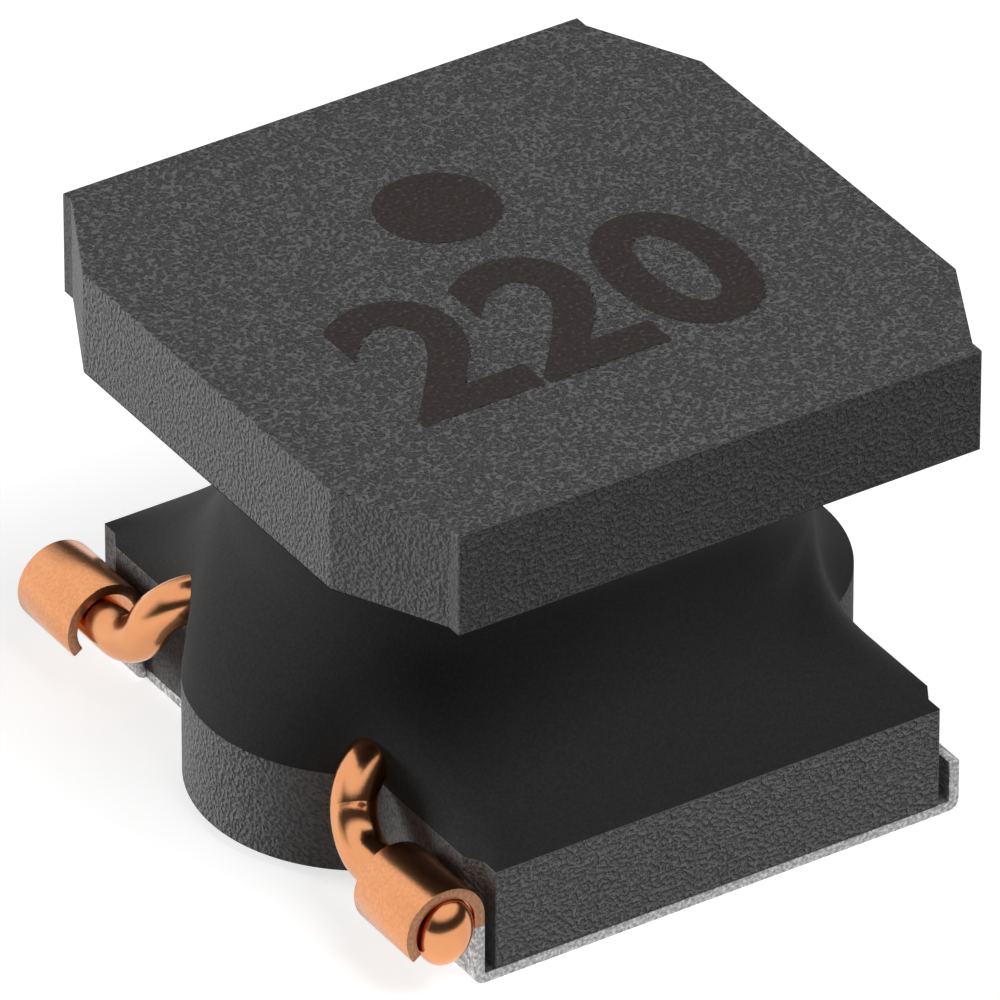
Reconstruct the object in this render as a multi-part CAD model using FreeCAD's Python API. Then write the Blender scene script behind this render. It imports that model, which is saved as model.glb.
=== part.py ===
import FreeCAD, Part
import math
import os

Vector = FreeCAD.Vector

# Shielded surface-mount inductor, millimetres.
# X runs along the end face, Y runs from the front end to the rear end, Z points up from the circuit board.
# The origin is the middle of the footprint, on the plane of the solder pads.
# The curled hooks and both leads are on the -X side.

# Ferrite drum core
body_length = 6.0
body_width = 6.0
core_height = 4.315
flange_thickness = 0.95
post_radius = 1.50
root_chamfer = 0.12

# Upper flange: a square with four broad chamfers and a small step beside each end face
top_end_width = 5.0
top_flank_length = 3.75
top_step = 0.14

# Lower flange: narrower, so that the hooks stay within the body, with a round lobe on each flank
foot_end_inset = 0.10
foot_step = 0.17
foot_chamfer_length = 0.17
lobe_radius = 1.5

# Folded terminals, one at each end
sheet = 0.10
pad_width = 1.5
clip_width = 0.80
tab_height = 0.48
hook_play = 0.075
hook_centre_height = 0.67
hook_sweep = 215.0

# Round copper wire, wound in two layers
wire_diameter = 0.40
turn_spacing = 0.04
coil_clearance = 0.02
coil_lift = 0.11
buried_section_sides = 6
wire_seat_gap = 0.01
wire_seat_angle = 120.0
lead_bend_radius = 0.50
lead_setback = 0.46
lead_rise = Vector(0.41, 0.62, 1.0)
nugget_play = 0.05
nugget_height = 0.55
nugget_shift = 0.015
nugget_drop = 0.16
nugget_depth = 0.05
wire_end_setback = 0.05

# Magnetic resin between the flanges
resin_over_coil = 0.23
neck_shift = 0.11
longest_patch = 2.6

# Sizes that follow from the ones above
wire_radius = wire_diameter / 2
foot_bottom = sheet
foot_top = foot_bottom + flange_thickness
core_top = foot_bottom + core_height
top_underside = core_top - flange_thickness
window = top_underside - foot_top
hook_inner_radius = wire_radius + hook_play
hook_radius = hook_inner_radius + sheet
foot_recess_width = body_width - 4 * hook_radius
foot_end_width = foot_recess_width - 2 * foot_end_inset
hook_x = -foot_recess_width / 2 - hook_radius
layer_step = wire_diameter + turn_spacing
inner_layer = post_radius + coil_clearance + wire_radius
outer_layer = inner_layer + layer_step
pocket_radius = outer_layer + wire_radius + coil_clearance
neck_radius = pocket_radius + resin_over_coil


def line(start, end):
    return Part.LineSegment(start, end).toShape()


def lines_through(points):
    return [line(start, end) for start, end in zip(points, points[1:])]


def arc(start, centre, end):
    """Arc of less than half a turn from start to end."""
    radius = centre.distanceToPoint(start)
    middle = centre + ((start + end) / 2 - centre).normalize() * radius
    return Part.Arc(start, middle, end).toShape()


def mirrored_ring(quarter):
    """Full outline from the points of the +X, -Y quarter, given from the front end to the flank."""
    right = quarter + [Vector(p.x, -p.y, 0) for p in reversed(quarter)]
    left = [Vector(-p.x, p.y, 0) for p in reversed(right)]
    return right + left


def top_outline():
    half_length = body_length / 2
    ring = mirrored_ring([
        Vector(top_end_width / 2, -half_length, 0),
        Vector(top_end_width / 2, -half_length + top_step, 0),
        Vector(body_width / 2, -top_flank_length / 2, 0),
    ])
    return lines_through(ring + ring[:1])


def foot_outline():
    """Outline of the lower flange. Each lobe is two arcs that meet at the widest place."""
    half_length = body_length / 2
    recess = foot_recess_width / 2
    lobe_x = body_width / 2 - lobe_radius
    lobe_half = math.sqrt(lobe_radius ** 2 - (recess - lobe_x) ** 2)
    step_y = -half_length + foot_step
    lobe_start = Vector(recess, -lobe_half, 0)
    ring = mirrored_ring([
        Vector(foot_end_width / 2, -half_length, 0),
        Vector(foot_end_width / 2, step_y, 0),
        Vector(recess, step_y + foot_chamfer_length, 0),
        lobe_start,
    ])
    edges = []
    for start, end in zip(ring, ring[1:] + ring[:1]):
        if start.x == end.x and abs(start.y) == lobe_half and abs(end.y) == lobe_half:
            side = math.copysign(1, start.x)
            widest = Vector(side * body_width / 2, 0, 0)
            centre = Vector(side * lobe_x, 0, 0)
            edges += [arc(start, centre, widest), arc(widest, centre, end)]
        else:
            edges.append(line(start, end))
    return edges


def prism(edges, bottom, height):
    face = Part.Face(Part.Wire(edges))
    face.translate(Vector(0, 0, bottom))
    return face.extrude(Vector(0, 0, height))


def drum_core():
    """Two flanges on one round post, pressed and sintered in one piece."""
    foot = prism(foot_outline(), foot_bottom, flange_thickness)
    top = prism(top_outline(), top_underside, flange_thickness)
    root = post_radius + root_chamfer
    profile = lines_through([
        Vector(0, 0, foot_top),
        Vector(root, 0, foot_top),
        Vector(post_radius, 0, foot_top + root_chamfer),
        Vector(post_radius, 0, top_underside - root_chamfer),
        Vector(root, 0, top_underside),
        Vector(0, 0, top_underside),
        Vector(0, 0, foot_top),
    ])
    post = Part.Face(Part.Wire(profile)).revolve(Vector(0, 0, 0), Vector(0, 0, 1), 360)
    return foot.fuse([post, top]).removeSplitter()


def on_hook(radius, degrees):
    """Point of the hook's section, measured round from the side that faces the core."""
    angle = math.radians(degrees)
    return Vector(hook_x + radius * math.cos(angle), 0, hook_centre_height + radius * math.sin(angle))


def curl(radius):
    return Part.Arc(on_hook(radius, 0), on_hook(radius, hook_sweep / 2), on_hook(radius, hook_sweep)).toShape()


def clip_section():
    """Section of the folded strip: tab, pad, leg and curled hook, with rounded outer bends."""
    inside = foot_recess_width / 2
    outside = inside + sheet
    leg_top = on_hook(hook_inner_radius, 0)
    leg_foot = Vector(-outside, 0, sheet)
    tab_foot = Vector(outside, 0, sheet)
    edges = [curl(hook_radius)]
    edges.append(line(on_hook(hook_radius, hook_sweep), on_hook(hook_inner_radius, hook_sweep)))
    edges.append(curl(hook_inner_radius))
    edges.append(line(leg_top, leg_foot))
    edges.append(arc(leg_foot, Vector(-inside, 0, sheet), Vector(-inside, 0, 0)))
    edges.append(line(Vector(-inside, 0, 0), Vector(inside, 0, 0)))
    edges.append(arc(Vector(inside, 0, 0), Vector(inside, 0, sheet), tab_foot))
    edges += lines_through([
        tab_foot,
        Vector(outside, 0, tab_height),
        Vector(inside, 0, tab_height),
        Vector(inside, 0, sheet),
        Vector(-inside, 0, sheet),
        on_hook(hook_radius, 0),
    ])
    return Part.sortEdges(edges)[0]


def front_terminal():
    """One strip folded round the foot: the pad runs on past the clip towards the middle."""
    section = Part.Face(Part.Wire(clip_section()))
    section.translate(Vector(0, -body_length / 2, 0))
    clip = section.extrude(Vector(0, clip_width, 0))
    pad = Part.makeBox(foot_recess_width, pad_width, sheet)
    pad.translate(Vector(-foot_recess_width / 2, -body_length / 2, 0))
    return clip.fuse(pad).removeSplitter()


def straight(start, end):
    """Straight stretch of wire: its start, its direction, its sweep, and how far it turns the section."""
    return start, end - start, lambda face: face.extrude(end - start), FreeCAD.Rotation()


def bend(start, centre, axis, degrees):
    """Stretch of wire bent on a true arc, given in the same way."""
    turn = FreeCAD.Rotation(axis, degrees)
    return start, axis.cross(start - centre), lambda face: face.revolve(centre, axis, degrees), turn


def rounded_route(points, radii):
    """Straight stretches through the points, joined by tangent bends of the given radii."""
    stretches = []
    start = points[0]
    for before, corner, after, radius in zip(points, points[1:], points[2:], radii):
        into = (corner - before).normalize()
        out = (after - corner).normalize()
        turn = into.getAngle(out)
        bend_start = corner - into * radius * math.tan(turn / 2)
        axis = into.cross(out).normalize()
        centre = bend_start + axis.cross(into) * radius
        stretches.append(straight(start, bend_start))
        stretches.append(bend(bend_start, centre, axis, math.degrees(turn)))
        start = corner + out * radius * math.tan(turn / 2)
    stretches.append(straight(start, points[-1]))
    return stretches


def round_wire(stretches):
    pieces = []
    for start, along, sweep, _ in stretches:
        pieces.append(sweep(Part.Face(Part.Wire(Part.makeCircle(wire_radius, start, along)))))
    return pieces


def buried_wire(stretches, corner_direction):
    """Wire hidden in the resin: a many-sided section with its corners on the wire's circle.

    The direction of the first corner is carried along, so that the ends of the stretches match.
    """
    pieces = []
    for start, along, sweep, turn in stretches:
        corners = []
        for side in range(buried_section_sides):
            round_section = FreeCAD.Rotation(along, 360 * side / buried_section_sides)
            corners.append(start + round_section.multVec(corner_direction) * wire_radius)
        pieces.append(sweep(Part.Face(Part.makePolygon(corners + corners[:1]))))
        corner_direction = turn.multVec(corner_direction)
    return pieces, corner_direction


def round_the_post(radius, degrees, height):
    angle = math.radians(degrees)
    return Vector(radius * math.cos(angle), radius * math.sin(angle), height)


# The wire rests against the inside of its hook, up and away from the core, and ends inside its melted nugget
wire_in_hook = on_hook(hook_play - wire_seat_gap, wire_seat_angle)
nugget_y = body_length / 2 - nugget_depth
wire_end_y = nugget_y - wire_end_setback
turn_in_y = body_length / 2 - clip_width - lead_setback


def rise_point(side, height):
    """Point of the lead's rising run at a height; side is -1 in front and 1 at the rear."""
    along = (height - wire_in_hook.z) / lead_rise.z
    return Vector(
        wire_in_hook.x + along * lead_rise.x,
        side * (turn_in_y - along * lead_rise.y),
        height,
    )


def angle_of(point):
    return math.degrees(math.atan2(point.y, point.x)) % 360


def tangent_gap(point, radius):
    """Angle between a point outside a circle and the place where its tangent touches the circle."""
    return math.degrees(math.acos(radius / math.hypot(point.x, point.y)))


def lead(side, contact, corner_direction, lead_bend, hidden):
    """One lead: straight on from the coil, down the rising run and along the inside of its hook.

    The resin hides the first stretches, as many as hidden says; from there on it is round.
    """
    into_hook = Vector(wire_in_hook.x, side * turn_in_y, wire_in_hook.z)
    wire_end = Vector(wire_in_hook.x, side * wire_end_y, wire_in_hook.z)
    stretches = rounded_route([contact, lead_bend, into_hook, wire_end], [lead_bend_radius] * 2)
    buried, _ = buried_wire(stretches[:hidden], corner_direction)
    return buried + round_wire(stretches[hidden:])


# Half way across, the crossing turn is half a layer out from the turn under it, a quarter of a turn on.
# This lift keeps the two wires a full step apart there.
crossing_lift = layer_step * (math.sqrt(1 - 0.5 ** 2) - 0.75)
coil_bottom = foot_top + wire_radius + coil_lift
coil_top = top_underside - wire_radius - coil_clearance
climb = coil_top - coil_bottom - crossing_lift
inner_half_turns = int(2 * climb / layer_step)
pitch = 2 * climb / inner_half_turns

# The leads leave on the same side, so the half turns are even in number
outer_half_turns = int(2 * (climb - layer_step) / pitch)
outer_half_turns -= (inner_half_turns + outer_half_turns) % 2
finish_height = coil_top - crossing_lift - outer_half_turns * pitch / 2

start_bend = rise_point(1, coil_bottom)
finish_bend = rise_point(-1, finish_height)
start_angle = angle_of(start_bend) + tangent_gap(start_bend, inner_layer)
finish_angle = angle_of(finish_bend) - tangent_gap(finish_bend, outer_layer)


def coil_stretches():
    """Coil as half turns, each a true arc in a slightly tilted plane, so that they join without a kink.

    The last stretch is the part turn, at the finish height, that leads to the finish lead.
    """
    climbs = [pitch / 2] * (inner_half_turns - 1) + [pitch / 2 + crossing_lift]
    falls = [-pitch / 2 - crossing_lift] + [-pitch / 2] * (outer_half_turns - 1)
    radii = [inner_layer] * (inner_half_turns + 1) + [outer_layer] * (outer_half_turns + 1)
    stretches = []
    angle = start_angle
    height = coil_bottom
    for radius, next_radius, rise in zip(radii, radii[1:], climbs + [0] + falls):
        start = round_the_post(radius, angle, height)
        end = round_the_post(next_radius, angle + 180, height + rise)
        centre = (start + end) / 2
        axis = (start - centre).cross(round_the_post(1, angle + 90, 0)).normalize()
        stretches.append(bend(start, centre, axis, 180))
        angle += 180
        height += rise
    start = round_the_post(outer_layer, angle, finish_height)
    stretches.append(bend(start, Vector(0, 0, finish_height), Vector(0, 0, 1), (finish_angle - angle) % 360))
    return stretches


def coil_and_leads():
    """Solid pieces of the coil, and those of both leads."""
    start = round_the_post(inner_layer, start_angle, coil_bottom)
    finish = round_the_post(outer_layer, finish_angle, finish_height)
    start_corner = round_the_post(1, start_angle, 0)
    coil, finish_corner = buried_wire(coil_stretches(), start_corner)
    start_lead = lead(1, start, start_corner, start_bend, 1)
    finish_lead = lead(-1, finish, finish_corner, finish_bend, 2)
    return coil, start_lead + finish_lead


def closed_solid(faces):
    """Solid inside faces that close up."""
    shell = Part.Shell(faces)
    shell.sewShape()
    solid = Part.Solid(shell)
    if solid.Volume < 0:
        solid.reverse()
    return solid


def nugget(side):
    """Egg-shaped end of the wire, melted by the weld, hanging in the open side of the hook.

    Its skin is in two halves: one faces the wire, and the other is whole.
    """
    centre = Vector(hook_x + nugget_shift, side * nugget_y, hook_centre_height - nugget_drop)
    top = centre + Vector(0, 0, nugget_height / 2)
    halves = []
    for half_width in (hook_inner_radius - nugget_play, nugget_play - hook_inner_radius):
        widest = centre + Vector(half_width, 0, 0)
        profile = Part.ArcOfEllipse(Part.Ellipse(top, widest, centre), 0, math.pi).toBSpline().toShape()
        halves += profile.revolve(centre, Vector(0, 0, 1), 180).Faces
    return closed_solid(halves)


def arc_poles(first, middle, last):
    """Control points and middle weight of the arc, or straight line, through three points."""
    chord_middle = (first + last) / 2
    bulge = middle - chord_middle
    half_angle = 2 * math.atan(2 * bulge.Length / first.distanceToPoint(last))
    weight = math.cos(half_angle)
    return [first, chord_middle + bulge * (1 + 1 / weight), last], weight


def on_neck(point):
    """Point of the resin's neck in the direction of a point of an outline."""
    centre = Vector(-neck_shift, 0, 0)
    return centre + (point - centre).normalize() * neck_radius


def skirt_patch(edge, flange_face, middle):
    """Resin surface from one edge of a flange's outline to the neck.

    Its control net runs straight in from the edge to the foot of the neck and then up the neck, which gives
    the hollow slope of poured resin. Both ends are true: the outline's line or arc, and an arc of the neck.
    """
    first, half_way, last = edge.discretize(3)
    neck_middle = on_neck((on_neck(first) + on_neck(last)) / 2)
    edge_row, edge_weight = arc_poles(first, half_way, last)
    neck_row, neck_weight = arc_poles(on_neck(first), neck_middle, on_neck(last))
    rows = [edge_row, neck_row, neck_row, neck_row]
    weights = [[1, edge_weight, 1]] + [[1, neck_weight, 1]] * 3
    climb_per_row = (middle - flange_face) / (len(rows) - 1)
    poles = []
    for number, row in enumerate(rows):
        level = Vector(0, 0, flange_face + number * climb_per_row)
        poles.append([pole + level for pole in row])
    surface = Part.BSplineSurface()
    surface.buildFromPolesMultsKnots(poles, [4, 4], [3, 3], [0, 1], [0, 1], False, False, 3, 2, weights)
    return surface.toShape()


def cap(faces, height):
    """Flat face that closes the edges lying at a height."""
    level = [e for face in faces for e in face.Edges if all(abs(v.Z - height) < 1e-6 for v in e.Vertexes)]
    return Part.Face(Part.Wire(Part.sortEdges(level)[0]))


def skirt(outline, flange_face, middle):
    """Half of the resin, from a flange's outline to the neck at mid height."""
    sides = []
    for edge in outline:
        half_way = (edge.FirstParameter + edge.LastParameter) / 2
        stretches = edge.split(half_way).Edges if edge.Length > longest_patch else [edge]
        sides += [skirt_patch(stretch, flange_face, middle) for stretch in stretches]
    return closed_solid(sides + [cap(sides, flange_face), cap(sides, middle)])


def magnetic_resin(leads):
    """Resin cast round the coil between the flanges, out to the edge of each and necked in between them."""
    middle = (foot_top + top_underside) / 2
    lower = skirt(foot_outline(), foot_top, middle)
    upper = skirt(top_outline(), top_underside, middle)
    pocket = Part.makeCylinder(pocket_radius, window)
    pocket.translate(Vector(0, 0, foot_top))
    return lower.fuse(upper).cut([pocket] + leads)


def write(shape, name):
    """Each node is one solid."""
    shape.Solids[0].exportStep(os.path.join("parts", name + ".step"))


front = front_terminal()
rear = front.mirror(Vector(0, 0, 0), Vector(0, 1, 0))
coil, leads = coil_and_leads()

os.makedirs("parts", exist_ok=True)
write(drum_core(), "drum_core")
write(front, "front_terminal")
write(rear, "rear_terminal")
write(coil[0].multiFuse(coil[1:] + leads + [nugget(1), nugget(-1)]), "winding")
write(magnetic_resin(leads), "magnetic_resin")
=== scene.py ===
import bmesh
import bpy
import math
from mathutils import Matrix, Vector


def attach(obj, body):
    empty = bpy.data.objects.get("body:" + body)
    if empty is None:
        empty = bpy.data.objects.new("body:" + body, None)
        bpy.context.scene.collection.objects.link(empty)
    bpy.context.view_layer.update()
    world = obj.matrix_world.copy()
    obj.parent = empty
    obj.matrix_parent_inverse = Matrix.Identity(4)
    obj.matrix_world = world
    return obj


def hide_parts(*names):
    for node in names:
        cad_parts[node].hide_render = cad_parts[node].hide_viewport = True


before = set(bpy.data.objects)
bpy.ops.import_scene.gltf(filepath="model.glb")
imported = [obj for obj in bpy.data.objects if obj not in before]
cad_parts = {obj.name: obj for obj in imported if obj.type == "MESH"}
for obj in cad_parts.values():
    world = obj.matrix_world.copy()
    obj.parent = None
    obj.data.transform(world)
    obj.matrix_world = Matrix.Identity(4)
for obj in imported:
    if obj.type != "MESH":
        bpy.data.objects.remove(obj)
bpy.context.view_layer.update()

MM = 0.001

# Sizes of the real part in millimetres, as in the part's source
BODY_LENGTH = 6.0
BODY_WIDTH = 6.0
SHEET = 0.10
FLANGE = 0.95
FOOT_TOP = SHEET + FLANGE
CORE_TOP = 4.415
TOP_UNDERSIDE = CORE_TOP - FLANGE
MIDDLE = (FOOT_TOP + TOP_UNDERSIDE) / 2
POST_RADIUS = 1.50
WIRE_RADIUS = 0.20
TURN_SPACING = 0.04
COIL_CLEARANCE = 0.02
COIL_LIFT = 0.11
HOOK_PLAY = 0.075
HOOK_INNER = WIRE_RADIUS + HOOK_PLAY
HOOK_RADIUS = HOOK_INNER + SHEET
RECESS_WIDTH = BODY_WIDTH - 4 * HOOK_RADIUS
LOBE_RADIUS = 1.5
HOOK_X = -RECESS_WIDTH / 2 - HOOK_RADIUS
HOOK_Z = 0.67
HOOK_SWEEP = 215
CLIP_WIDTH = 0.80
PAD_WIDTH = 1.5
TAB_HEIGHT = 0.48

# Outlines of the flanges: widths across the ends, depths of the steps beside them and the top flange's flank
TOP_END_WIDTH = 5.0
TOP_STEP = 0.14
TOP_FLANK = 3.75
FOOT_END_WIDTH = 4.3
FOOT_STEP = 0.17

# Soft edges of the pressed ferrite and the cut sheet
EDGE_ROUNDING = 0.012
SHEET_ROUNDING = 0.012


# Mesh helpers

def finished(bm, name, material, smooth_angle=None):
    """Turns a bmesh drawn in millimetres into an object in metres that rides on the body."""
    bmesh.ops.scale(bm, vec=(MM, MM, MM), verts=bm.verts)
    bmesh.ops.recalc_face_normals(bm, faces=bm.faces)
    mesh = bpy.data.meshes.new(name)
    bm.to_mesh(mesh)
    bm.free()
    piece = bpy.data.objects.new(name, mesh)
    bpy.context.scene.collection.objects.link(piece)
    mesh.materials.append(material)
    if smooth_angle is None:
        mesh.shade_flat()
    else:
        mesh.shade_smooth()
        mesh.set_sharp_from_angle(angle=math.radians(smooth_angle))
    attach(piece, "root")
    return piece


def new_verts(made):
    return [part for part in made["geom"] if isinstance(part, bmesh.types.BMVert)]


def only_edges(parts, verts):
    kept = set(verts)
    return [part for part in parts if isinstance(part, bmesh.types.BMEdge) and kept.issuperset(part.verts)]


def face_from_points(bm, points):
    return bm.faces.new([bm.verts.new(point) for point in points])


def raise_faces(bm, faces, vector):
    """Extrudes flat faces into closed prisms."""
    made = bmesh.ops.extrude_face_region(bm, geom=faces)
    bmesh.ops.translate(bm, vec=vector, verts=new_verts(made))


def soften(bm, edges, width):
    bmesh.ops.bevel(bm, geom=list(edges), offset=width, offset_type="OFFSET", affect="EDGES",
                    segments=2, profile=0.5, material=-1, clamp_overlap=True)


def corner_edges(bm, least_angle=20):
    return [edge for edge in bm.edges if edge.calc_face_angle(0) > math.radians(least_angle)]


def arc_points(centre, radius, first, last, steps):
    """Points round a circle, from one angle to another, in degrees."""
    points = []
    for step in range(steps + 1):
        angle = math.radians(first + (last - first) * step / steps)
        points.append((centre[0] + radius * math.cos(angle), centre[1] + radius * math.sin(angle)))
    return points


# Outlines of the two flanges

def mirrored_ring(quarter):
    """Full outline from the points of the +X, -Y quarter, given from the front end to the flank."""
    right = quarter + [(x, -y) for x, y in reversed(quarter)]
    ring = right + [(-x, y) for x, y in reversed(right)]
    return [point for number, point in enumerate(ring) if math.dist(point, ring[number - 1]) > 1e-6]


def top_outline():
    """Square with a small step beside each end and a long chamfer from there to the flank."""
    end = BODY_LENGTH / 2
    end_corner = TOP_END_WIDTH / 2
    return mirrored_ring([
        (end_corner, -end), (end_corner, TOP_STEP - end), (BODY_WIDTH / 2, -TOP_FLANK / 2)])


def foot_outline():
    """Narrower foot with stepped ends, recesses for the terminals and a round lobe on each flank."""
    end = BODY_LENGTH / 2
    end_corner = FOOT_END_WIDTH / 2
    recess = RECESS_WIDTH / 2
    centre_x = BODY_WIDTH / 2 - LOBE_RADIUS
    lobe_half_angle = math.degrees(math.acos((recess - centre_x) / LOBE_RADIUS))
    lobe = arc_points((centre_x, 0), LOBE_RADIUS, -lobe_half_angle, 0, 24)
    return mirrored_ring([
        (end_corner, -end), (end_corner, FOOT_STEP - end), (recess, 2 * FOOT_STEP - end)] + lobe)


# Materials

def new_material(name, **values):
    """A material and its surface shader, with values set on the shader's own sockets."""
    material = bpy.data.materials.new(name)
    material.use_nodes = True
    surface = material.node_tree.nodes["Principled BSDF"]
    for socket, value in values.items():
        surface.inputs[socket.replace("_", " ")].default_value = value
    return material, surface


def add(tree, kind, inputs=None, **settings):
    """Adds a node; an input is given a value or the socket that feeds it."""
    made = tree.nodes.new("ShaderNode" + kind)
    for setting, value in settings.items():
        setattr(made, setting, value)
    for socket, value in (inputs or {}).items():
        if isinstance(value, bpy.types.NodeSocket):
            tree.links.new(value, made.inputs[socket])
        else:
            made.inputs[socket].default_value = value
    return made


def millimetres(tree, grains_per_mm):
    """Place on the object, counted in grains along X, Y and Z."""
    place = add(tree, "TexCoord").outputs["Object"]
    scale = [grains / MM for grains in grains_per_mm]
    return add(tree, "Mapping", {"Vector": place, "Scale": scale}).outputs["Vector"]


def ramp(tree, factor, stops):
    """Colour or grey ramp through (position, colour) stops."""
    made = add(tree, "ValToRGB", {"Fac": factor})
    elements = made.color_ramp.elements
    while len(elements) < len(stops):
        elements.new(0.5)
    for element, (position, colour) in zip(elements, stops):
        element.position = position
        element.color = colour if isinstance(colour, tuple) else (colour, colour, colour, 1)
    return made.outputs["Color"]


def bump(tree, surface, height, depth_mm):
    made = add(tree, "Bump", {"Height": height, "Distance": depth_mm * MM})
    tree.links.new(made.outputs["Normal"], surface.inputs["Normal"])


def larger(tree, first, second):
    return add(tree, "Math", {0: first, 1: second}, operation="MAXIMUM").outputs[0]


def blend(tree, share, low, high):
    """Runs from low, where share is 0, to high, where it is 1."""
    return add(tree, "Mix", {"Factor": share, "A": low, "B": high}, data_type="FLOAT").outputs["Result"]


def spread(tree, value, low, high):
    """0 up to low and 1 from high on, with an even rise between."""
    return add(tree, "MapRange", {"Value": value, "From Min": low, "From Max": high}).outputs["Result"]


def fine_noise(tree, grains_per_mm, detail=2.0, **inputs):
    """Even noise, counted in grains to the millimetre."""
    place = millimetres(tree, [grains_per_mm] * 3)
    return add(tree, "TexNoise", {"Vector": place, "Scale": 1.0, "Detail": detail, **inputs}).outputs["Fac"]


SAND_GRAINS = 60
SAND_SHARE = 0.12


def sintered_ferrite(name, shade, grains_per_mm, depth_mm, grain_low=0.34, grain_high=0.66):
    """Pressed and sintered ferrite: close pebbled grain with a finer sand in it, painted darker in the
    hollows as painted shade and lighter on the pebble tops as painted light.

    The pebbles are flat above grain_high, and so are the hollows between them below grain_low.
    """
    material, surface = new_material(name, Roughness=0.75, Specular_IOR_Level=0.12)
    tree = material.node_tree
    grain = fine_noise(tree, grains_per_mm, detail=1.0)
    relief = ramp(tree, grain, [(grain_low, 0.0), (grain_high, 1.0)])
    rough = blend(tree, SAND_SHARE, relief, fine_noise(tree, SAND_GRAINS))
    # Painted shade in the hollows between the pebbles and painted light on their tops.
    colour = ramp(tree, rough, [(0.1, 0.70 * shade), (0.5, shade), (0.9, 1.10 * shade)])
    tree.links.new(colour, surface.inputs["Base Color"])
    bump(tree, surface, rough, depth_mm)
    return material


def cast_resin():
    """Black resin with a dull skin and a very fine speckle."""
    material, surface = new_material("cast_resin", Roughness=0.7, Specular_IOR_Level=0.05)
    tree = material.node_tree
    speckle = fine_noise(tree, 34)
    colour = ramp(tree, speckle, [(0.35, 0.030), (0.7, 0.038)])
    tree.links.new(colour, surface.inputs["Base Color"])
    bump(tree, surface, speckle, 0.002)
    return material


COPPER_DARK = (0.74, 0.31, 0.14, 1)
COPPER_LIGHT = (0.80, 0.36, 0.165, 1)


def polished_copper():
    """Bare drawn copper, a little uneven in colour and sheen."""
    material, surface = new_material("polished_copper", Metallic=1.0)
    tree = material.node_tree
    cloud = fine_noise(tree, 3, detail=3.0)
    tree.links.new(ramp(tree, cloud, [(0.3, COPPER_DARK), (0.7, COPPER_LIGHT)]), surface.inputs["Base Color"])
    tree.links.new(ramp(tree, cloud, [(0.3, 0.17), (0.7, 0.23)]), surface.inputs["Roughness"])
    bump(tree, surface, fine_noise(tree, 25), 0.0006)
    return material


# Height of the tin's edge on the hook, how far it wanders and how soft it is
TINNED_BELOW = 0.576
TIN_WANDER = 0.02
TIN_EDGE = 0.01
TIN_ROUGHNESS = 0.50


def dipped_copper(name, copper_dark, copper_light, copper_roughness, tin_shades):
    """Copper strip whose leg, pad and tab were dipped in tin. The hook stays bare."""
    material, surface = new_material(name, Metallic=1.0)
    tree = material.node_tree
    place = add(tree, "SeparateXYZ", {"Vector": add(tree, "TexCoord").outputs["Object"]})
    speckle = fine_noise(tree, 30, detail=3.0, Roughness=0.6)
    wander = add(tree, "Math", {0: speckle, 1: TIN_WANDER * MM, 2: place.outputs["Z"]},
                 operation="MULTIPLY_ADD")
    above = spread(tree, wander.outputs[0], TINNED_BELOW * MM, (TINNED_BELOW + TIN_EDGE) * MM)
    in_hook = add(tree, "Math", {0: place.outputs["X"], 1: HOOK_X * MM}, operation="LESS_THAN").outputs[0]
    bare = larger(tree, above, in_hook)
    tin = ramp(tree, speckle, list(zip((0.36, 0.5, 0.64), tin_shades)))
    copper = ramp(tree, speckle, [(0.38, copper_dark), (0.62, copper_light)])
    colour = add(tree, "Mix", {"Factor": bare, "A": tin, "B": copper}, data_type="RGBA")
    tree.links.new(colour.outputs["Result"], surface.inputs["Base Color"])
    tree.links.new(blend(tree, bare, TIN_ROUGHNESS, copper_roughness), surface.inputs["Roughness"])
    bump(tree, surface, speckle, 0.0008)
    return material


def marking_ink():
    """Brown-black ink with tiny light specks where the ferrite shows through."""
    material, surface = new_material("marking_ink", Roughness=0.75, Specular_IOR_Level=0.1)
    tree = material.node_tree
    speck = fine_noise(tree, 26, detail=1.0)
    colour = ramp(tree, speck, [
        (0.35, (0.042, 0.035, 0.033, 1)), (0.62, (0.054, 0.046, 0.044, 1)), (0.76, (0.10, 0.09, 0.09, 1))])
    tree.links.new(colour, surface.inputs["Base Color"])
    bump(tree, surface, speck, 0.004)
    return material


# Ferrite drum

# Slots of the drum. The ends, the steps and the recess walls take darker copies of the ferrite, which is
# painted shade, and the foot's ends take a lighter copy, which is painted light. The steps and recess walls
# also have a smoother finish.
FACE_SLOT, SIDE_SLOT, PAINTED_SHADE_END_SLOT, PAINTED_LIGHT_FOOT_END_SLOT, SMOOTH_PAINTED_SHADE_STEP_SLOT = range(5)
STEPS_WITHIN_X = 2.6


def prism(bm, outline, bottom, height):
    face = face_from_points(bm, [(x, y, bottom) for x, y in outline])
    raise_faces(bm, [face], (0, 0, height))


def finish_and_painted_light_slot(face):
    """Each face takes the finish of its side of the press tool. The ends, the steps and the recess walls also
    take darker copies of the ferrite as painted shade, and the foot's ends take a lighter copy as painted
    light.
    """
    middle = face.calc_center_median()
    if abs(face.normal.z) > 0.7:
        return FACE_SLOT
    if abs(face.normal.y) > 0.95:
        # The foot's ends take a lighter copy of the ferrite than the upper ends: painted light.
        return PAINTED_LIGHT_FOOT_END_SLOT if middle.z < MIDDLE else PAINTED_SHADE_END_SLOT
    if abs(face.normal.x) > 0.95 and abs(middle.x) < STEPS_WITHIN_X:
        return SMOOTH_PAINTED_SHADE_STEP_SLOT
    return SIDE_SLOT


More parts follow.
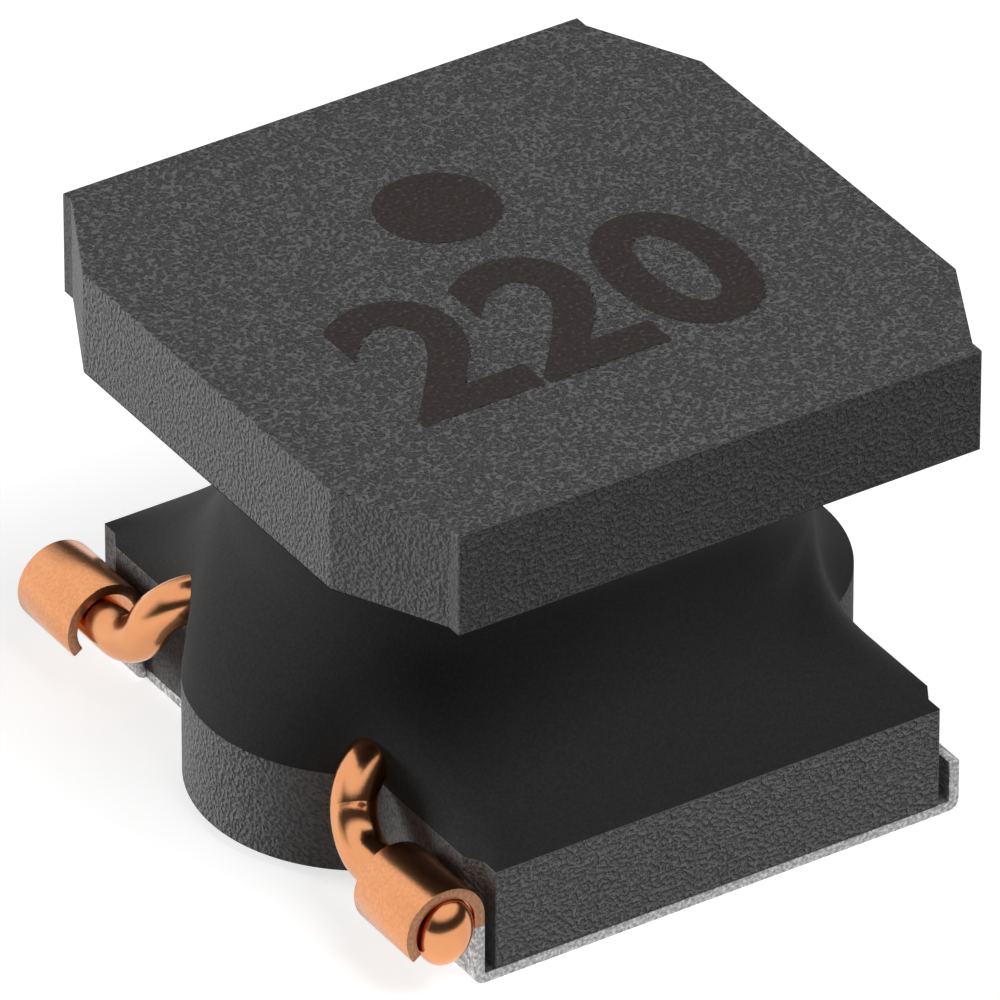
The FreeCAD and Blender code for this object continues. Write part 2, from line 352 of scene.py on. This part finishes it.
def drum(*materials):
    """Both flanges and the post between them."""
    bm = bmesh.new()
    prism(bm, foot_outline(), SHEET, FLANGE)
    prism(bm, top_outline(), TOP_UNDERSIDE, FLANGE)
    soften(bm, corner_edges(bm), EDGE_ROUNDING)
    post_height = TOP_UNDERSIDE - FOOT_TOP
    post = bmesh.ops.create_cone(bm, cap_ends=True, segments=64, radius1=POST_RADIUS, radius2=POST_RADIUS,
                                 depth=post_height)
    bmesh.ops.translate(bm, vec=(0, 0, MIDDLE), verts=post["verts"])
    bm.normal_update()
    for face in bm.faces:
        face.material_index = finish_and_painted_light_slot(face)
    piece = finished(bm, "ferrite_drum", materials[0], smooth_angle=15)
    for material in materials[1:]:
        piece.data.materials.append(material)
    return piece


# Resin

NECK_RADIUS = 2.40
NECK_SWAY = 0.12
SWAY_SKEW = 0.7
SKIN_SMOOTHING = 40

# How hollow the slopes are: 1 is an even slope, less is full and more is hollow
TOP_HOLLOW = 3.5
FOOT_HOLLOW_AT_FLANK = 0.8
FOOT_HOLLOW_PER_MM = 2.1
FOOT_FLANK_RADIUS = 2.65


def outline_ring(bm, outline, height, longest=0.12):
    """Closed ring of short edges along an outline."""
    verts = [bm.verts.new((x, y, height)) for x, y in outline]
    ring = [bm.edges.new((verts[number - 1], vert)) for number, vert in enumerate(verts)]
    for edge in list(ring):
        cuts = int(edge.calc_length() / longest)
        if cuts:
            made = bmesh.ops.subdivide_edges(bm, edges=[edge], cuts=cuts)
            split = [part for part in made["geom_split"] if isinstance(part, bmesh.types.BMEdge)]
            ring += [part for part in split if part not in ring]
    return ring


def resin_skirt(bm, outline, flange_face, hollow_at, sway, steps=24):
    """Slope of poured resin, from a flange's outline to just short of the neck, drawn smooth like a skin.

    hollow_at gives how hollow the slope is for the rim's distance from the middle. The slope leans
    towards the hooks by sway, most of all on the flange's half of it.
    """
    rim = outline_ring(bm, outline, flange_face)
    reach = [vert.co.xy for vert in {vert for edge in rim for vert in edge.verts}]
    axis = Vector((0, 0))
    ring = rim
    slope = []
    for step in range(1, steps):
        made = bmesh.ops.extrude_edge_only(bm, edges=ring)
        verts = new_verts(made)
        next_axis = Vector((-sway * math.sin(math.pi * (step / steps) ** SWAY_SKEW), 0))
        for vert in verts:
            out = (vert.co.xy - axis).normalized()
            rim_radius = max(reach, key=lambda point: out.dot(point.normalized())).length
            radius = NECK_RADIUS + (rim_radius - NECK_RADIUS) * (1 - step / steps) ** hollow_at(rim_radius)
            vert.co.xy = next_axis + out * radius
            vert.co.z = flange_face + (MIDDLE - flange_face) * step / steps
        axis = next_axis
        ring = only_edges(made["geom"], verts)
        if step < steps - 1:
            slope += verts
    for smoothing in range(SKIN_SMOOTHING):
        bmesh.ops.smooth_vert(bm, verts=slope, factor=0.5, use_axis_x=True, use_axis_y=True, use_axis_z=True)
    bmesh.ops.edgeloop_fill(bm, edges=rim)
    return ring


def foot_hollow(rim_radius):
    """Full over the narrow sides of the foot and hollow towards its corners."""
    return FOOT_HOLLOW_AT_FLANK + FOOT_HOLLOW_PER_MM * (rim_radius - FOOT_FLANK_RADIUS)


def top_hollow(rim_radius):
    """The same all round under the upper flange."""
    return TOP_HOLLOW


def resin_fill(material):
    """Resin round the coil, from the foot up to the upper flange."""
    bm = bmesh.new()
    lower = resin_skirt(bm, foot_outline(), FOOT_TOP, foot_hollow, NECK_SWAY)
    upper = resin_skirt(bm, top_outline(), TOP_UNDERSIDE, top_hollow, 0)
    bmesh.ops.bridge_loops(bm, edges=lower + upper)
    bmesh.ops.triangulate(bm, faces=[face for face in bm.faces if len(face.verts) > 4])
    return finished(bm, "resin_fill", material, smooth_angle=35)


# Wire

INNER_LAYER = POST_RADIUS + COIL_CLEARANCE + WIRE_RADIUS
LAYER_STEP = 2 * WIRE_RADIUS + TURN_SPACING
OUTER_LAYER = INNER_LAYER + LAYER_STEP

# Rear lead, whose mirror image is the front one: where it leaves the resin, passes the foot's edge, turns
# into the hook and ends inside its bead
LEAD_BEND_RADIUS = 0.435
TURN_IN_Y = 1.6745
SHOULDER = Vector((-2.54, 1.48, 1.242))
INLET = SHOULDER + Vector((0.564, -0.257, 0.107))
WIRE_END_Y = 2.86
BEAD_PLACE = Vector((-2.616, 2.95, 0.634))
BEAD_HALF_SIZES = (0.246, 0.220, 0.308)
BEAD_LEAN = 10

# The wire rests against the inside of its hook, up and away from the core
WIRE_SEAT_GAP = 0.01
WIRE_SEAT = HOOK_PLAY - WIRE_SEAT_GAP
WIRE_SEAT_ANGLE = math.radians(120)
WIRE_IN_HOOK = Vector((HOOK_X + WIRE_SEAT * math.cos(WIRE_SEAT_ANGLE), 0,
                       HOOK_Z + WIRE_SEAT * math.sin(WIRE_SEAT_ANGLE)))

# Half way across, the crossing turn is half a layer out from the turn under it, a quarter of a turn on.
# This lift keeps the two wires a full step apart there.
CROSSING_LIFT = LAYER_STEP * (math.sqrt(1 - 0.5 ** 2) - 0.75)
COIL_BOTTOM = FOOT_TOP + WIRE_RADIUS + COIL_LIFT
COIL_TOP = TOP_UNDERSIDE - WIRE_RADIUS - COIL_CLEARANCE
CLIMB = COIL_TOP - COIL_BOTTOM - CROSSING_LIFT
INNER_HALF_TURNS = int(2 * CLIMB / LAYER_STEP)
PITCH = 2 * CLIMB / INNER_HALF_TURNS

# The leads leave on the same side, so the half turns are even in number
OUTER_HALF_TURNS = int(2 * (CLIMB - LAYER_STEP) / PITCH)
OUTER_HALF_TURNS -= (INNER_HALF_TURNS + OUTER_HALF_TURNS) % 2
FINISH_HEIGHT = COIL_TOP - CROSSING_LIFT - OUTER_HALF_TURNS * PITCH / 2


def on_side(point, side):
    """The same point in front, where side is -1, or at the rear, where it is 1."""
    return Vector((point.x, side * point.y, point.z))


def angle_of(point):
    return math.degrees(math.atan2(point.y, point.x)) % 360


def tangent_gap(point, radius):
    return math.degrees(math.acos(radius / math.hypot(point.x, point.y)))


def round_the_post(radius, degrees, height):
    angle = math.radians(degrees)
    return Vector((radius * math.cos(angle), radius * math.sin(angle), height))


START_ANGLE = angle_of(on_side(INLET, 1)) + tangent_gap(INLET, INNER_LAYER)
FINISH_ANGLE = angle_of(on_side(INLET, -1)) - tangent_gap(INLET, OUTER_LAYER)


def run_straight(bm, ring, vector):
    made = bmesh.ops.extrude_edge_only(bm, edges=ring)
    bmesh.ops.translate(bm, vec=vector, verts=new_verts(made))
    return only_edges(made["geom"], new_verts(made))


def run_bend(bm, ring, centre, axis, degrees, step_angle=7.5):
    """Carries the wire's ring round a true arc."""
    steps = max(2, math.ceil(abs(degrees) / step_angle))
    verts = list({vert for edge in ring for vert in edge.verts})
    made = bmesh.ops.spin(bm, geom=verts + ring, cent=centre, axis=axis, angle=math.radians(degrees),
                          steps=steps, use_merge=False, use_duplicate=False)
    return [part for part in made["geom_last"] if isinstance(part, bmesh.types.BMEdge)]


def run_lead(bm, ring, points):
    """Straight runs through the points, joined by tangent bends."""
    start = points[0]
    for before, corner, after in zip(points, points[1:], points[2:]):
        into = (corner - before).normalized()
        out = (after - corner).normalized()
        turn = into.angle(out)
        reach = LEAD_BEND_RADIUS * math.tan(turn / 2)
        bend_start = corner - into * reach
        axis = into.cross(out).normalized()
        centre = bend_start + axis.cross(into) * LEAD_BEND_RADIUS
        ring = run_straight(bm, ring, bend_start - start)
        ring = run_bend(bm, ring, centre, axis, math.degrees(turn))
        start = corner + out * reach
    return run_straight(bm, ring, points[-1] - start)


def run_coil(bm, ring):
    """Two layers of half turns: the inner layer climbs, one half turn crosses over, the outer layer falls."""
    climbs = [PITCH / 2] * (INNER_HALF_TURNS - 1) + [PITCH / 2 + CROSSING_LIFT, 0]
    falls = [-PITCH / 2 - CROSSING_LIFT] + [-PITCH / 2] * (OUTER_HALF_TURNS - 1)
    radii = [INNER_LAYER] * (INNER_HALF_TURNS + 1) + [OUTER_LAYER] * (OUTER_HALF_TURNS + 1)
    angle = START_ANGLE
    height = COIL_BOTTOM
    for radius, next_radius, rise in zip(radii, radii[1:], climbs + falls):
        start = round_the_post(radius, angle, height)
        end = round_the_post(next_radius, angle + 180, height + rise)
        centre = (start + end) / 2
        axis = (start - centre).cross(round_the_post(1, angle + 90, 0)).normalized()
        ring = run_bend(bm, ring, centre, axis, 180)
        angle += 180
        height += rise
    upright = Vector((0, 0, 1))
    return run_bend(bm, ring, upright * FINISH_HEIGHT, upright, (FINISH_ANGLE - angle) % 360)


def lead_points(side, contact):
    """From the coil along its tangent, out through the resin, over the foot's edge and into the hook."""
    into_hook = Vector((WIRE_IN_HOOK.x, side * TURN_IN_Y, WIRE_IN_HOOK.z))
    wire_end = Vector((WIRE_IN_HOOK.x, side * WIRE_END_Y, WIRE_IN_HOOK.z))
    return [contact, on_side(INLET, side), on_side(SHOULDER, side), into_hook, wire_end]


def melted_end(bm, side):
    """Egg-shaped bead that the weld leaves on the wire's end."""
    place = Matrix.Translation(on_side(BEAD_PLACE, side)) @ Matrix.Rotation(math.radians(BEAD_LEAN), 4, "Y")
    shape = Matrix.Diagonal((*BEAD_HALF_SIZES, 1))
    bmesh.ops.create_uvsphere(bm, u_segments=48, v_segments=32, radius=1, matrix=place @ shape)


def wound_wire(material, sides=24):
    """One length of wire from the rear bead, round the post in two layers, to the front bead."""
    bm = bmesh.new()
    start = round_the_post(INNER_LAYER, START_ANGLE, COIL_BOTTOM)
    finish = round_the_post(OUTER_LAYER, FINISH_ANGLE, FINISH_HEIGHT)
    rear = list(reversed(lead_points(1, start)))
    upright = Matrix.Rotation(math.radians(90), 4, "X")
    circle = bmesh.ops.create_circle(bm, cap_ends=False, segments=sides, radius=WIRE_RADIUS,
                                     matrix=Matrix.Translation(rear[0]) @ upright)["verts"]
    first_ring = list({edge for vert in circle for edge in vert.link_edges})
    ring = run_lead(bm, first_ring, rear)
    ring = run_coil(bm, ring)
    ring = run_lead(bm, ring, lead_points(-1, finish))
    bmesh.ops.edgeloop_fill(bm, edges=first_ring)
    bmesh.ops.edgeloop_fill(bm, edges=ring)
    melted_end(bm, 1)
    melted_end(bm, -1)
    return finished(bm, "wound_wire", material, smooth_angle=40)


# Terminals

def clip_outline():
    """Section of the clip, in X and Z: from the leg round the hook and back, then leg, pad and tab."""
    inside = RECESS_WIDTH / 2
    outside = inside + SHEET
    outer_curl = arc_points((HOOK_X, HOOK_Z), HOOK_RADIUS, 0, HOOK_SWEEP, 40)
    inner_curl = arc_points((HOOK_X, HOOK_Z), HOOK_INNER, HOOK_SWEEP, 0, 40)
    leg_bend = arc_points((-inside, SHEET), SHEET, 180, 270, 6)
    tab_bend = arc_points((inside, SHEET), SHEET, 270, 360, 6)
    tab = [(outside, TAB_HEIGHT), (inside, TAB_HEIGHT), (inside, SHEET), (-inside, SHEET)]
    return outer_curl + inner_curl + leg_bend + tab_bend + tab


def terminal(name, side, material, cut_material):
    """One strip folded round the foot: the pad runs on past the clip towards the middle."""
    end = side * BODY_LENGTH / 2
    clip_end = side * (BODY_LENGTH / 2 - CLIP_WIDTH)
    pad_end = side * (BODY_LENGTH / 2 - PAD_WIDTH)
    inside = RECESS_WIDTH / 2
    bm = bmesh.new()
    clip = face_from_points(bm, [(x, end, z) for x, z in clip_outline()])
    raise_faces(bm, [clip], (0, clip_end - end, 0))
    pad = face_from_points(bm, [(x, clip_end, z) for x, z in
                                ((-inside, 0), (inside, 0), (inside, SHEET), (-inside, SHEET))])
    raise_faces(bm, [pad], (0, pad_end - clip_end, 0))
    soften(bm, corner_edges(bm, 40), SHEET_ROUNDING)
    bm.normal_update()
    for face in bm.faces:
        face.material_index = 1 if abs(face.normal.y) > 0.9 else 0
    piece = finished(bm, name, material, smooth_angle=25)
    piece.data.materials.append(cut_material)
    return piece


# Printed marks

MARK_HEIGHT = 0.004
DOT_CENTRE = (-0.05, 1.16)
DOT_RADIUS = 0.53
CODE_LOW = Vector((-1.88, -1.54))
CODE_HIGH = Vector((1.69, 0.25))
DIGIT_WEIGHT = 0.026


def code_digits():
    """Plain digits as a flat mesh, one unit high or so."""
    text = bpy.data.curves.new("value_code", "FONT")
    text.body = "220"
    text.offset = DIGIT_WEIGHT
    text.resolution_u = 12
    holder = bpy.data.objects.new("value_code", text)
    bpy.context.scene.collection.objects.link(holder)
    depsgraph = bpy.context.evaluated_depsgraph_get()
    mesh = bpy.data.meshes.new_from_object(holder.evaluated_get(depsgraph))
    bpy.data.objects.remove(holder)
    return mesh


def printed_marks(material):
    """Dot and value code in a thin film of ink on the top face."""
    bm = bmesh.new()
    bm.from_mesh(code_digits())
    bmesh.ops.remove_doubles(bm, verts=bm.verts, dist=1e-5)
    low = Vector([min(vert.co[axis] for vert in bm.verts) for axis in range(2)])
    high = Vector([max(vert.co[axis] for vert in bm.verts) for axis in range(2)])
    stretch = [(CODE_HIGH[axis] - CODE_LOW[axis]) / (high[axis] - low[axis]) for axis in range(2)]
    bmesh.ops.translate(bm, vec=(-low.x, -low.y, 0), verts=bm.verts)
    bmesh.ops.scale(bm, vec=(stretch[0], stretch[1], 1), verts=bm.verts)
    bmesh.ops.translate(bm, vec=(CODE_LOW.x, CODE_LOW.y, 0), verts=bm.verts)
    bmesh.ops.create_circle(bm, cap_ends=True, segments=96, radius=DOT_RADIUS,
                            matrix=Matrix.Translation((DOT_CENTRE[0], DOT_CENTRE[1], 0)))
    bmesh.ops.translate(bm, vec=(0, 0, CORE_TOP), verts=bm.verts)
    raise_faces(bm, list(bm.faces), (0, 0, MARK_HEIGHT))
    return finished(bm, "printed_marks", material)


# The whole part

# The faces and flanks have nearly one tone. The other copies of the ferrite are lighter or darker by face as
# painted light and painted shade: the ends and the steps are darker, and the foot's ends are lighter. The
# steps also have a smoother finish.
ferrite_face = sintered_ferrite("ferrite_face", shade=0.145, grains_per_mm=28, depth_mm=0.060,
                                grain_low=0.32, grain_high=0.58)
ferrite_side = sintered_ferrite("ferrite_side", shade=0.150, grains_per_mm=28, depth_mm=0.016)
ferrite_end_painted_shade = sintered_ferrite("ferrite_end_painted_shade", shade=0.122, grains_per_mm=24, depth_mm=0.070, grain_low=0.36)
ferrite_foot_end_painted_light = sintered_ferrite("ferrite_foot_end_painted_light", shade=0.215, grains_per_mm=24, depth_mm=0.055,
                                    grain_low=0.36)
ferrite_step_smooth_painted_shade = sintered_ferrite("ferrite_step_smooth_painted_shade", shade=0.115, grains_per_mm=30, depth_mm=0.006)
copper = polished_copper()
strip_skin = dipped_copper("strip_skin", COPPER_DARK, COPPER_LIGHT, copper_roughness=0.24,
                           tin_shades=(0.30, 0.50, 0.86))
strip_cut = dipped_copper("strip_cut", (0.32, 0.16, 0.09, 1), (0.46, 0.23, 0.13, 1), copper_roughness=0.45,
                          tin_shades=(0.26, 0.42, 0.66))

core = drum(ferrite_face, ferrite_side, ferrite_end_painted_shade, ferrite_foot_end_painted_light, ferrite_step_smooth_painted_shade)
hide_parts("drum_core")

resin = resin_fill(cast_resin())
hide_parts("magnetic_resin")

wire = wound_wire(copper)
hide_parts("winding")

for node, side in (("front_terminal", -1), ("rear_terminal", 1)):
    strip = terminal(node.replace("terminal", "clip"), side, strip_skin, strip_cut)
    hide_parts(node)

marks = printed_marks(marking_ink())


# Floor, light and camera

FLOOR_SIZE = 2
FLOOR_PAPER = (0.6, 0.6, 0.6, 1)
FLOOR_WHITENING = 0.70
WINDOW_SIDE = Vector((-0.56, 0.83, 0.25))
DIM_WALLS = 0.05
BRIGHT_PANES = 1.1
VIEW_AZIMUTH = 32.683
VIEW_ELEVATION = 33.611
VIEW_DISTANCE = 143.37
VIEW_CENTRE = Vector((0.413, 0.932, 1.520))
VIEW_LENS = 626.52


def seen_directly(tree, path):
    """1 where the camera sees a surface, also through glass, and 0 where it only lights others."""
    return larger(tree, path.outputs["Is Camera Ray"], path.outputs["Is Transmission Ray"])


def pale_floor():
    """Pale floor that keeps the shadow and shows white to the camera, in metal and through glass too."""
    bm = bmesh.new()
    bmesh.ops.create_grid(bm, x_segments=1, y_segments=1, size=FLOOR_SIZE)
    mesh = bpy.data.meshes.new("floor")
    bm.to_mesh(mesh)
    bm.free()
    floor = bpy.data.objects.new("floor", mesh)
    bpy.context.scene.collection.objects.link(floor)
    material = bpy.data.materials.new("pale_floor")
    material.use_nodes = True
    tree = material.node_tree
    tree.nodes.clear()
    paper = add(tree, "BsdfDiffuse", {"Color": FLOOR_PAPER})
    path = add(tree, "LightPath")
    shown = larger(tree, seen_directly(tree, path), path.outputs["Is Glossy Ray"])
    glow = add(tree, "Math", {0: shown, 1: FLOOR_WHITENING}, operation="MULTIPLY")
    white = add(tree, "Emission", {"Strength": glow.outputs[0]})
    both = add(tree, "AddShader", {0: paper.outputs[0], 1: white.outputs[0]})
    add(tree, "OutputMaterial", {"Surface": both.outputs[0]})
    mesh.materials.append(material)


def white_room(level):
    """Plain even light on everything. Reflections see a white ceiling and window with dim walls between."""
    world = bpy.data.worlds.new("white_room")
    world.use_nodes = True
    tree = world.node_tree
    towards = add(tree, "TexCoord").outputs["Generated"]
    up = add(tree, "SeparateXYZ", {"Vector": towards}).outputs["Z"]
    at_window = add(tree, "VectorMath", {0: towards, 1: WINDOW_SIDE.normalized()}, operation="DOT_PRODUCT")
    ceiling = spread(tree, up, 0.46, 0.66)
    window = spread(tree, at_window.outputs["Value"], 0.50, 0.85)
    mirrored = blend(tree, larger(tree, ceiling, window), DIM_WALLS, BRIGHT_PANES)
    path = add(tree, "LightPath")
    in_room = blend(tree, path.outputs["Is Glossy Ray"], level, mirrored)
    background = tree.nodes["Background"]
    background.inputs["Color"].default_value = (1, 1, 1, 1)
    tree.links.new(blend(tree, seen_directly(tree, path), in_room, 1.0), background.inputs["Strength"])
    bpy.context.scene.world = world


def soft_sun(name, towards, level, softness):
    """Soft light from a direction; at level 1 it renders a white face turned to it as white."""
    lamp = bpy.data.lights.new(name, "SUN")
    lamp.energy = level * math.pi
    lamp.angle = math.radians(softness)
    holder = bpy.data.objects.new(name, lamp)
    holder.rotation_euler = Vector(towards).to_track_quat("Z", "Y").to_euler()
    holder.visible_glossy = False
    bpy.context.scene.collection.objects.link(holder)


def photo_camera():
    """Long lens from the front left, above the part."""
    azimuth = math.radians(VIEW_AZIMUTH)
    elevation = math.radians(VIEW_ELEVATION)
    back = Vector((-math.sin(azimuth) * math.cos(elevation), -math.cos(azimuth) * math.cos(elevation),
                   math.sin(elevation)))
    lens = bpy.data.cameras.new("photo_camera")
    lens.sensor_width = 36
    lens.lens = VIEW_LENS
    lens.clip_start = 0.01
    lens.clip_end = 10
    camera = bpy.data.objects.new("photo_camera", lens)
    camera.location = (VIEW_CENTRE + back * VIEW_DISTANCE) * MM
    camera.rotation_euler = back.to_track_quat("Z", "Y").to_euler()
    bpy.context.scene.collection.objects.link(camera)
    bpy.context.scene.camera = camera


pale_floor()
white_room(level=0.07)
soft_sun("window_light", (-0.56, 0.83, 0.12), level=1.50, softness=25)
soft_sun("ceiling_light", (0.20, -0.55, 1.0), level=0.56, softness=35)
photo_camera()
bpy.context.scene.view_settings.view_transform = "Standard"
